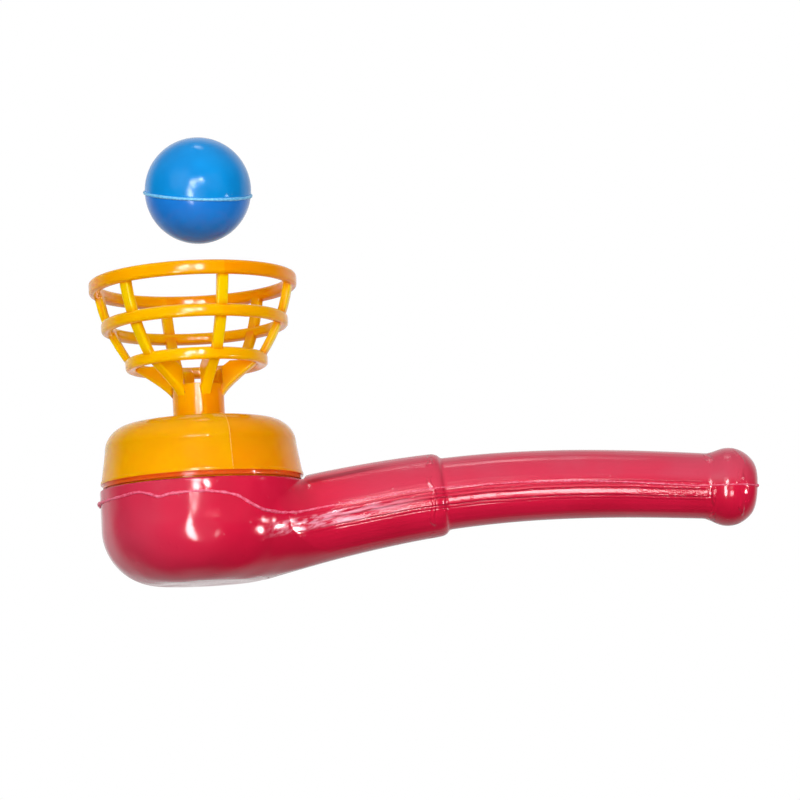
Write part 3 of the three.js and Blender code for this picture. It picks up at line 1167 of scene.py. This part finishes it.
    def body(self, x: Array, y: Array, z: Array) -> Array:
        """The field of the hollow moulding."""
        seat = np.maximum(self.bowl_height - z, np.hypot(x, y) - self.lid_radius)
        solid = without(self.outside(x, y, z), seat, self.edge_round)
        inside = joined(self.bowl(x, y, z, self.wall), self.tube(x, y, z, self.wall), self.wall)
        return without(solid, inside, self.edge_round)

    def flash_path(self) -> Array:
        """The seam's points, along the near side, round the bowl and back along the far side."""
        turn = np.linspace(0, math.pi / 2, self.seam_steps[0])
        bowl_x = -self.bowl_radius * np.cos(turn)
        rest_x = np.linspace(0, self.mouth[0] - self.seam_end, self.seam_steps[1])[1:]
        x = np.concatenate([bowl_x, rest_x])
        z = np.interp(x, *np.array(self.parting).T)
        smooth = np.convolve(np.pad(z, 1, "edge"), [0.25, 0.5, 0.25], "valid")
        low, high = np.zeros_like(x), np.full_like(x, self.bowl_radius + self.seam_search)
        for _ in range(self.seam_halvings):
            middle = (low + high) / 2
            inside = self.outside(x, middle, smooth) < 0
            low, high = np.where(inside, middle, low), np.where(inside, high, middle)
        near = np.stack([x, -low, smooth], axis=1)[::-1]
        far = np.stack([x, low, smooth], axis=1)[1:]
        return np.concatenate([near, far])

    def build(self, beads: Recipe) -> list[Object]:
        """Make the moulding and its seam flash.

        Args:
            beads: The recipe for a bead on a path.

        Returns:
            The moulding and the flash.
        """
        grid = [graded(*spans) for spans in (self.grid_along, self.grid_across, self.grid_up)]
        mesh, points = SurfaceNet(self.body, grid).mesh("pipe_moulding")
        distance, over = self.line.straightened(points[:, 0], points[:, 2])
        note(mesh, "way", np.stack([distance, over, points[:, 1]], axis=1) * MILLIMETRE)
        mesh.materials.append(self.finish.make())
        moulding = add_object("pipe_moulding", mesh)
        path = self.flash_path()
        thinning = [self.root[0] + mark for mark in self.flash_tube_span]
        sizes = np.interp(path[:, 0], thinning, [1.0, self.flash_tube_share])
        sizes = sizes + np.interp(path[:, 0], self.nub_marks, [self.nub_share, 0, 0, self.nub_share])
        flash = self.flash.lay(beads, "pipe_seam_flash", path_mesh("pipe_seam", path, sizes=sizes), 3.0)
        for piece in (moulding, flash):
            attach(piece, Body.PIPE.value)
        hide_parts("pipe_body")
        return [moulding, flash]


@dataclass(frozen=True)
class BasketRing:
    """One ring of the basket, in millimetres.

    Attributes:
        radius, height, face: Its outer radius, its middle's height and its outer face's height.
        thin: How much of the painted backlight glow it gets, 0 to 1.
    """

    radius: float
    height: float
    face: float
    thin: float


@dataclass
class BasketCap:
    """The injection-moulded plug, cap, neck and basket, in millimetres.

    Attributes:
        cap_draft: How much the cap's side leans in, up to the shoulder.
        shoulder_steps: The steps of its outer and its inner arc.
        rim, middle, low: The basket's rings.
        ring_inner_share: The height of a ring's inner face, as a share of its outer one's.
        first_rib: The angle of the first rib about the axis, in degrees.
        rib_inset: How far a rib's outer edge lies inside the rings'.
        web_foot, web_corner: How far under the neck's top a rib's web starts, and bends outwards.
        web_offset: How far inside the neck's face it starts, and outside it bends.
        root_depth, root_rises: How deep in the neck a rib is rooted, and how high over the neck's top.
        seat_width: How far the ball's seat reaches out from the neck on each web.
        thin_reach: The depth behind a rib's outer edge at which the painted backlight glow is least.
        parting_start, parting_foot: The angle up the shoulder where the parting line starts, and its
            height over the lip's bottom where it ends.
    """

    cap_radius: float = 23.5
    cap_wall: float = 1.3
    cap_top: float = 37.4
    cap_draft: float = 1.1
    lip_bottom: float = 23.7
    lip_height: float = 0.8
    lip_proud: float = 0.2
    lip_round: float = 0.15
    shoulder_width: float = 6.4
    shoulder_height: float = 6.0
    shoulder_steps: tuple[int, int] = (28, 20)
    plug_radius: float = 22.1
    plug_wall: float = 1.2
    plug_bottom: float = 18.2
    plug_round: float = 0.45
    plug_inner_round: float = 0.2
    collar_radius: float = 23.0
    collar_bottom: float = 22.8
    neck_radius: float = 6.0
    neck_bore: float = 4.6
    neck_top: float = 46.1
    neck_round: float = 0.25
    neck_fillet: float = 0.5
    bore_round: float = 0.4
    rim: BasketRing = BasketRing(24.3, 69.85, 3.8, 0.0)
    middle: BasketRing = BasketRing(21.8, 60.45, 3.3, 0.4)
    low: BasketRing = BasketRing(16.6, 51.4, 3.3, 0.5)
    ring_depth: float = 2.6
    ring_inner_share: float = 0.64
    ring_round: float = 0.85
    ring_steps: int = 4
    rib_count: int = 6
    first_rib: float = 292.0
    rib_width: float = 2.6
    rib_inset: float = 0.6
    rib_round: float = 0.5
    rib_steps: int = 9
    web_foot: float = 3.2
    web_corner: float = 1.1
    web_offset: float = 0.2
    root_depth: float = 0.7
    root_rises: Point = (0.1, -0.3)
    seat_width: float = 2.0
    seat_radius: float = 12.85
    seat_steps: int = 4
    thin_reach: float = 3.2
    thin_least: float = 0.15
    parting_start: float = 88.0
    parting_foot: float = 0.2
    parting_steps: int = 24
    sides: int = 144
    finish: MouldedPlastic = MouldedPlastic(
        name="cap_amber",
        colour=(0.93, 0.38, 0.0),
        shade=(0.9, 0.34, 0.0),
        roughness=(0.1, 0.2),
        cloud_scale=60.0,
        glow=0.8,
        glow_reach=(4.5, 3.2, 0.2),
        gloss=0.25,
        # Painted light: a brighter yellow on thin parts for light coming through them
        painted_backlight_colour=(1.0, 0.54, 0.0),
        half_colour=(0.88, 0.29, 0.0),
        parting_angle=292.0,
        # Painted shade and red reflection of the bowl under the lip
        painted_bounce_colour=(0.78, 0.1, 0.01),
        painted_bounce_band=(0.0227, 0.0228, 0.0237, 0.024),
    )
    parting: Bead = Bead(
        thickness=0.12,
        unevenness=1.2,
        grain=400.0,
        finish=Flash("cap_parting", (0.94, 0.44, 0.04), (0.9, 0.36, 0.01), (0.3, 0.5)),
    )

    def __post_init__(self) -> None:
        """Find the radius of the cap's side and the lip's top."""
        self.side = self.cap_radius - self.lip_proud
        self.lip_top = self.lip_bottom + self.lip_height

    def shoulder(self, inwards: float, start: float, end: float, steps: int) -> list[Point]:
        """The arc of the shoulder, or of a face at a depth inwards from it, between two angles."""
        centre = (self.side - self.cap_draft - self.shoulder_width, self.cap_top - self.shoulder_height)
        sides = (self.shoulder_width - inwards, self.shoulder_height - inwards)
        return quarter(centre, sides, start, end, steps)

    def cap_mesh(self) -> Mesh:
        """The turned part: plug, lip, shoulder and neck."""
        lower = [
            (self.plug_radius - self.plug_wall, self.plug_bottom, self.plug_inner_round),
            (self.plug_radius, self.plug_bottom, self.plug_round),
            (self.plug_radius, self.collar_bottom),
            (self.collar_radius, self.collar_bottom, self.lip_round),
            (self.collar_radius, self.lip_bottom),
            (self.cap_radius, self.lip_bottom, self.lip_round),
            (self.cap_radius, self.lip_top, self.lip_round),
            (self.side, self.lip_top),
        ]
        upper = [
            (self.neck_radius, self.cap_top, self.neck_fillet),
            (self.neck_radius, self.neck_top, self.neck_round),
            (self.neck_bore, self.neck_top, self.neck_round),
            (self.neck_bore, self.cap_top - self.cap_wall, self.bore_round),
        ]
        over = self.shoulder(0, 0, 90, self.shoulder_steps[0])
        under = self.shoulder(self.cap_wall, 90, 0, self.shoulder_steps[1])
        return turned("cap_moulding", rounded([*lower, *over, *upper, *under]), self.sides)

    def rib_edges(self) -> tuple[list[Point], list[Point]]:
        """One rib's outer edge, up from the foot of its web, and the rest of its outline, back down."""
        rings = [self.low, self.middle, self.rim]
        outer = [(ring.radius - self.rib_inset, ring.height) for ring in rings]
        inner = [(ring.radius - self.ring_depth, ring.height) for ring in rings]
        foot = np.array([self.neck_radius - self.web_offset, self.neck_top - self.web_foot])
        bend = np.array([self.neck_radius + self.web_offset, self.neck_top - self.web_corner])
        tip = np.array(outer[0])
        web = [
            tuple(foot * (1 - t) ** 2 + 2 * bend * t * (1 - t) + tip * t**2)
            for t in np.linspace(0, 1, self.rib_steps)
        ]
        reach = self.neck_radius + self.seat_width
        seat_centre = (0, self.low.height + math.sqrt(self.seat_radius**2 - reach**2))
        ends = [math.degrees(math.asin(x / self.seat_radius)) - 90 for x in (reach, self.neck_radius)]
        seat = quarter(seat_centre, (self.seat_radius,) * 2, *ends, self.seat_steps)
        inside = self.neck_radius - self.root_depth
        tops = [self.neck_top + rise for rise in self.root_rises]
        foot_top = [(self.neck_radius, tops[0]), (inside, tops[1])]
        start = (inside, self.neck_top - self.web_foot)
        return [*web, *self._bowed(outer)[1:]], [*self._bowed(inner)[::-1], *seat, *foot_top, start]

    def _bowed(self, marks: Sequence[Point]) -> list[Point]:
        """A smooth curve through three points of a rib's edge."""
        heights = [z for _, z in marks]
        bow = np.polyfit(heights, [x for x, _ in marks], 2)
        steps = np.linspace(heights[0], heights[-1], self.rib_steps)
        return [(float(np.polyval(bow, z)), float(z)) for z in steps]

    def rib_mesh(self) -> Mesh:
        """One rib in the XZ plane with rounded edges."""
        outer, rest = self.rib_edges()
        outline = [rest[-1], *outer, *rest[:-1]]
        cloth = bmesh.new()
        near = [cloth.verts.new((x, -self.rib_width / 2, z)) for x, z in outline]
        cloth.faces.new(near)
        made = bmesh.ops.extrude_face_region(cloth, geom=list(cloth.faces))
        moved = [v for v in made["geom"] if isinstance(v, bmesh.types.BMVert)]
        bmesh.ops.translate(cloth, verts=moved, vec=(0, self.rib_width, 0))
        bmesh.ops.recalc_face_normals(cloth, faces=cloth.faces)
        rims = [e for e in cloth.edges if abs(e.verts[0].co.y - e.verts[1].co.y) < 1e-6]
        bmesh.ops.bevel(cloth, geom=rims, offset=self.rib_round, segments=3, profile=0.5, affect="EDGES")
        bmesh.ops.scale(cloth, vec=(MILLIMETRE,) * 3, verts=cloth.verts)
        mesh = bpy.data.meshes.new("basket_rib")
        cloth.to_mesh(mesh)
        cloth.free()
        # The top's inner corner counts as edge too: the rim covers it
        edge = np.array(sorted([*outer, rest[0]], key=lambda mark: mark[1]))
        x, _, z = np.array([v.co for v in mesh.vertices]).T / MILLIMETRE
        behind = np.interp(z, edge[:, 1], edge[:, 0]) - x
        note(mesh, "thin", np.clip(1 - behind / self.thin_reach, self.thin_least, 1))
        return mesh

    def basket_recipe(self) -> Recipe:
        """Three swept rings and one rib turned round the axis, all joined to the cap as one solid."""
        inputs = {"Rib Count": "Int", "First Angle": "Float", "Ring Depth": "Float", "Inner Share": "Float"}
        inputs |= {"Rounding": "Float", "Cap": "Object"}
        rings = ("Rim", "Middle", "Low")
        for ring in rings:
            inputs |= {f"{ring} {word}": "Float" for word in ("Radius", "Height", "Face", "Thin")}
        recipe = Recipe("basket", inputs)
        count = recipe.given("Rib Count")
        points = recipe.node("GeometryNodePoints", {"Count": count})
        sockets = {"Points": points, "Instance": recipe.given("Geometry")}
        ribs = recipe.node("GeometryNodeInstanceOnPoints", sockets)
        index = recipe.node("GeometryNodeInputIndex", {})
        angle = index * (2 * math.pi / count) + recipe.given("First Angle")
        turn = recipe.node("ShaderNodeCombineXYZ", {"Z": angle})
        around = recipe.node("GeometryNodeRotateInstances", {"Instances": ribs, "Rotation": turn})
        parts = [self._ring_nodes(recipe, ring) for ring in rings]
        parts.append(recipe.node("GeometryNodeRealizeInstances", {0: around}))
        parts.append(recipe.node("GeometryNodeObjectInfo", {"Object": recipe.given("Cap")}, "Geometry"))
        sockets = {"Mesh 2": parts}
        recipe.end(recipe.node("GeometryNodeMeshBoolean", sockets, operation="UNION", solver="MANIFOLD"))
        return recipe

    def _ring_nodes(self, recipe: Recipe, ring: str) -> Wire:
        """The nodes of one ring, and the wire of its geometry."""
        depth, face = recipe.given("Ring Depth"), recipe.given(f"{ring} Face")
        sockets = {"Resolution": self.sides, "Radius": recipe.given(f"{ring} Radius") - depth / 2.0}
        path = recipe.node("GeometryNodeCurvePrimitiveCircle", sockets)
        sockets = {"Height": depth, "Bottom Width": face, "Offset": 0.0}
        sockets["Top Width"] = face * recipe.given("Inner Share")
        outline = recipe.node("GeometryNodeCurvePrimitiveQuadrilateral", sockets, mode="TRAPEZOID")
        sockets = {"Curve": outline, "Radius": recipe.given("Rounding"), "Count": self.ring_steps}
        soft = recipe.node("GeometryNodeFilletCurve", sockets, mode="POLY")
        sockets = {"Geometry": soft, "Rotation": (0.0, 0.0, math.pi / 2)}
        spun = recipe.node("GeometryNodeTransform", sockets)
        bar = recipe.node("GeometryNodeCurveToMesh", {"Curve": path, "Profile Curve": spun})
        lift = recipe.node("ShaderNodeCombineXYZ", {"Z": recipe.given(f"{ring} Height")})
        lifted = recipe.node("GeometryNodeTransform", {"Geometry": bar, "Translation": lift})
        sockets = {"Geometry": lifted, "Name": "thin", "Value": recipe.given(f"{ring} Thin")}
        return recipe.node("GeometryNodeStoreNamedAttribute", sockets, data_type="FLOAT")

    def parting_path(self, angle: float) -> Array:
        """The mould's parting line down the cap's side at an angle in degrees."""
        line = self.shoulder(0, self.parting_start, 0, self.parting_steps)
        line += [(self.side, self.lip_top), (self.cap_radius, self.lip_bottom + self.parting_foot)]
        turn = math.radians(angle)
        return np.array([(x * math.cos(turn), x * math.sin(turn), z) for x, z in line])

    def build(self, beads: Recipe) -> list[Object]:
        """Make the cap, the basket and the parting lines.

        Args:
            beads: The recipe for a bead on a path.

        Returns:
            The pieces.
        """
        core = add_object("cap_core", self.cap_mesh())
        lengths = {"Ring Depth": self.ring_depth, "Rounding": self.ring_round}
        values = {"Rib Count": self.rib_count, "First Angle": math.radians(self.first_rib), "Cap": core}
        values |= {"Inner Share": self.ring_inner_share, "Finish": self.finish.make()}
        for label, ring in {"Rim": self.rim, "Middle": self.middle, "Low": self.low}.items():
            lengths |= {f"{label} Radius": ring.radius, f"{label} Height": ring.height}
            lengths[f"{label} Face"] = ring.face
            values[f"{label} Thin"] = ring.thin
        values |= {label: length * MILLIMETRE for label, length in lengths.items()}
        cap = self.basket_recipe().run("cap_moulding", self.rib_mesh(), values)
        bpy.data.objects.remove(core)
        outward(cap.data)
        # Keeps flat faces flat beside small rounded edges
        cap.modifiers.new("even_shading", "WEIGHTED_NORMAL").keep_sharp = True
        pieces = [cap]
        for number, angle in enumerate((self.first_rib, self.first_rib - 180)):
            path = path_mesh("cap_seam", self.parting_path(angle))
            pieces.append(self.parting.lay(beads, f"cap_parting_{number + 1}", path, float(number)))
        for piece in pieces:
            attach(piece, Body.CAP.value)
        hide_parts("basket_cap")
        return pieces


@dataclass
class HollowBall:
    """The hollow ball: two shells with a proud seam, in millimetres and degrees.

    Attributes:
        centre: Where the ball floats.
        seam_drop: How far the seam lies under the ball's middle.
        seam_gap: The gap between the shells behind the seam.
        tilt_forward, tilt_sideways: How the seam leans.
        pole: How far up an arc goes, just short of the axis.
        arc_steps: The steps of a shell's outer and its inner arc.
    """

    radius: float = 12.5
    wall: float = 0.8
    centre: Triple = (2.3, 0.0, 92.4)
    seam_drop: float = 0.8
    seam_gap: float = 0.3
    tilt_forward: float = 17.5
    tilt_sideways: float = 5.5
    seam_points: int = 160
    pole: float = 89.9
    arc_steps: tuple[int, int] = (44, 30)
    sides: int = 128
    finish: MouldedPlastic = MouldedPlastic(
        name="ball_blue",
        colour=(0.003, 0.265, 0.69),
        shade=(0.003, 0.23, 0.62),
        roughness=(0.16, 0.28),
        cloud_scale=110.0,
        gloss=0.35,
    )
    # Painted shade: the lower shell gets a darker, more violet copy of the ball's blue
    shaded_lower_finish: MouldedPlastic = replace(
        finish, name="ball_blue_painted_shade", colour=(0.01, 0.2, 0.68), shade=(0.012, 0.165, 0.6)
    )
    seam: Bead = Bead(
        thickness=0.4,
        unevenness=0.8,
        grain=400.0,
        finish=Flash("ball_seam", (0.22, 0.6, 0.9), (0.1, 0.45, 0.82), (0.35, 0.5)),
    )

    def turn(self) -> Matrix:
        """Where the ball is and how it is turned."""
        tilt = Matrix.Rotation(math.radians(self.tilt_forward), 4, "X")
        tilt @= Matrix.Rotation(math.radians(self.tilt_sideways), 4, "Y")
        return Matrix.Translation(Vector(self.centre) * MILLIMETRE) @ tilt

    def shell_mesh(self, side: int) -> Mesh:
        """One shell, above the seam when side is 1 and below it when -1."""
        edge = self.seam_gap / 2 - side * self.seam_drop
        inner = self.radius - self.wall
        start, end = (math.degrees(math.asin(edge / size)) for size in (self.radius, inner))
        outline = quarter((0, 0), (self.radius,) * 2, start, self.pole, self.arc_steps[0])
        outline += quarter((0, 0), (inner,) * 2, self.pole, end, self.arc_steps[1])
        mesh = turned(f"ball_shell_{side}", outline, self.sides)
        if side < 0:
            mesh.transform(Matrix.Rotation(math.pi, 4, "X"))
        mesh.transform(self.turn())
        return mesh

    def build(self, beads: Recipe) -> list[Object]:
        """Make the shells and the seam.

        Args:
            beads: The recipe for a bead on a path.

        Returns:
            The pieces.
        """
        pieces = []
        for name, side, finish in (("ball_upper", 1, self.finish), ("ball_lower", -1, self.shaded_lower_finish)):
            shell = add_object(name, self.shell_mesh(side))
            shell.data.materials.append(finish.make())
            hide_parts(f"{name}_shell")
            pieces.append(shell)
        angles = np.linspace(0, 2 * math.pi, self.seam_points, endpoint=False)
        ring = math.sqrt(self.radius**2 - self.seam_drop**2)
        down = np.full(self.seam_points, -self.seam_drop)
        points = np.stack([ring * np.cos(angles), ring * np.sin(angles), down], axis=1)
        path = path_mesh("ball_seam_path", points, closed=True)
        path.transform(self.turn())
        pieces.append(self.seam.lay(beads, "ball_seam", path, 7.0))
        for piece in pieces:
            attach(piece, Body.BALL.value)
        return pieces


@dataclass(frozen=True)
class SoftLight:
    """One soft light: its place, aim and sides in metres, its power in watts and its fan in degrees."""

    name: str
    place: Triple
    aim: Triple
    width: float
    height: float
    power: float
    fan: float = 180.0

    def build(self, gives: Gives) -> None:
        """Put the light in the scene, for even light or for a highlight."""
        lamp = bpy.data.lights.new(self.name, "AREA")
        lamp.shape = "ELLIPSE" if gives is Gives.HIGHLIGHT else "RECTANGLE"
        lamp.size, lamp.size_y = self.width, self.height
        lamp.energy = self.power
        lamp.spread = math.radians(self.fan)
        thing = add_object(self.name, lamp)
        thing.location = self.place
        thing.rotation_euler = (Vector(self.aim) - Vector(self.place)).to_track_quat("-Z", "Y").to_euler()
        thing.visible_glossy = gives is Gives.HIGHLIGHT
        thing.visible_diffuse = gives is Gives.EVEN_LIGHT


@dataclass
class Studio:
    """Camera, lights, white surround and floor; lengths in metres, angles in degrees.

    Attributes:
        back, back_rise: Where the white back comes in, by how far a direction leads away, and where it
            gets brighter, by how far it leads up.
        overhead: Where the room in front of the toy gets brighter, by how far a direction leads up.
        back_light, room_light: The least light of each, and how much it gains.
    """

    camera_place: Triple = (0.04685, -0.6, -0.0385)
    camera_pitch: float = 7.45
    camera_roll: float = -3.4
    lens: float = 117.0
    back: Point = (0.2, 0.7)
    back_rise: Point = (-0.6, 0.1)
    back_light: Point = (0.6, 0.35)
    overhead: Point = (0.2, 0.9)
    room_light: Point = (0.02, 0.3)
    floor_radius: float = 3.0
    floor_sides: int = 96
    floor_height: float = -0.0002
    floor_finish: PaleFloor = PaleFloor(name="floor_pale")
    fills: tuple[SoftLight, ...] = (
        SoftLight("fill_left", (-0.5, -0.7, 0.35), (0.0, 0.0, 0.04), 0.6, 0.6, 5.0),
        SoftLight("fill_right", (0.6, -0.7, 0.2), (0.05, 0.0, 0.04), 0.6, 0.6, 4.8),
        SoftLight("fill_front", (-0.05, -0.9, -0.3), (0.03, 0.0, 0.03), 0.7, 0.7, 5.5),
    )
    highlights: tuple[SoftLight, ...] = (
        SoftLight("wall_window", (-0.045, -0.62, 0.075), (0.0, 0.0, 0.017), 0.1, 0.06, 0.6),
        SoftLight("ring_window", (-0.035, -0.6, 0.16), (0.0, 0.0, 0.06), 0.16, 0.06, 1.0),
        SoftLight("bowl_strip", (-0.13, -0.6, -0.165), (0.0, 0.0, 0.01), 0.13, 0.42, 3.4),
        SoftLight("stem_strip", (0.122, -0.28, -0.115), (0.092, 0.0, 0.016), 0.115, 0.11, 0.0106, 24.0),
        SoftLight("stem_glow", (0.115, -0.28, -0.02), (0.095, 0.0, 0.016), 0.11, 0.06, 0.0006, 24.0),
        SoftLight("ceiling", (0.08, 0.03, 0.5), (0.08, 0.0, 0.02), 0.2, 0.06, 0.003, 20.0),
        SoftLight("ball_strip", (0.12, -0.6, 0.2), (0.0, 0.0, 0.092), 0.1, 0.26, 0.02, 12.0),
        SoftLight("side_window", (0.47, -0.18, -0.127), (0.018, -0.01, 0.011), 0.16, 0.11, 0.014, 10.0),
        SoftLight("side_pane", (0.5, -0.15, 0.0), (0.016, -0.01, 0.005), 0.08, 0.05, 0.0015, 10.0),
    )

    def camera(self) -> None:
        """The camera at the photograph's angle."""
        lens = bpy.data.cameras.new("camera")
        lens.sensor_width = 36.0
        lens.lens = self.lens
        lens.clip_start = 0.01
        view = add_object("camera", lens)
        turn = Matrix.Rotation(math.radians(90 + self.camera_pitch), 4, "X")
        turn @= Matrix.Rotation(math.radians(self.camera_roll), 4, "Z")
        view.matrix_world = Matrix.Translation(self.camera_place) @ turn
        bpy.context.scene.camera = view

    def surround(self) -> None:
        """White behind the toy, a dimmer room in front of it, brighter overhead."""
        world = bpy.data.worlds.new("surround")
        world.use_nodes = True
        bpy.context.scene.world = world
        bench = ShaderBench(world.node_tree)
        direction = bench.node("ShaderNodeTexCoord", {}, "Generated")
        ahead, rise = bench.part(direction, 1), bench.part(direction, 2)
        back = ahead.eased(*self.back)
        white = rise.eased(*self.back_rise) * self.back_light[1] + self.back_light[0]
        room = rise.eased(*self.overhead) * self.room_light[1] + self.room_light[0]
        light = back * white + (1.0 - back) * room
        seen = bench.node("ShaderNodeLightPath", {}, "Is Camera Ray")
        sockets = {"Color": opaque((1.0, 1.0, 1.0)), "Strength": seen + (1.0 - seen) * light}
        bench.finish(bench.node("ShaderNodeBackground", sockets), "ShaderNodeOutputWorld")

    def floor(self) -> None:
        """A pale round floor under the toy."""
        radius, height = self.floor_radius, self.floor_height
        angles = np.linspace(0, 2 * math.pi, self.floor_sides, endpoint=False)
        ring = [(radius * math.cos(a), radius * math.sin(a), height) for a in angles]
        mesh = bpy.data.meshes.new("floor")
        mesh.from_pydata(ring, [], [range(self.floor_sides)])
        mesh.materials.append(self.floor_finish.make())
        add_object("floor", mesh)

    def build(self) -> None:
        """Set the whole stage."""
        self.camera()
        self.surround()
        self.floor()
        for gives, lights in ((Gives.EVEN_LIGHT, self.fills), (Gives.HIGHLIGHT, self.highlights)):
            for light in lights:
                light.build(gives)
        bpy.context.scene.view_settings.view_transform = "Standard"


def main() -> None:
    """Build the toy and its studio, and log each piece's face count."""
    logging.basicConfig(level=logging.INFO)
    Studio().build()
    beads = bead_recipe()
    for maker in (PipeMoulding(), BasketCap(), HollowBall()):
        for piece in maker.build(beads):
            log.info("%s: %d faces", piece.name, len(piece.data.polygons))


if __name__ == "__main__":
    main()
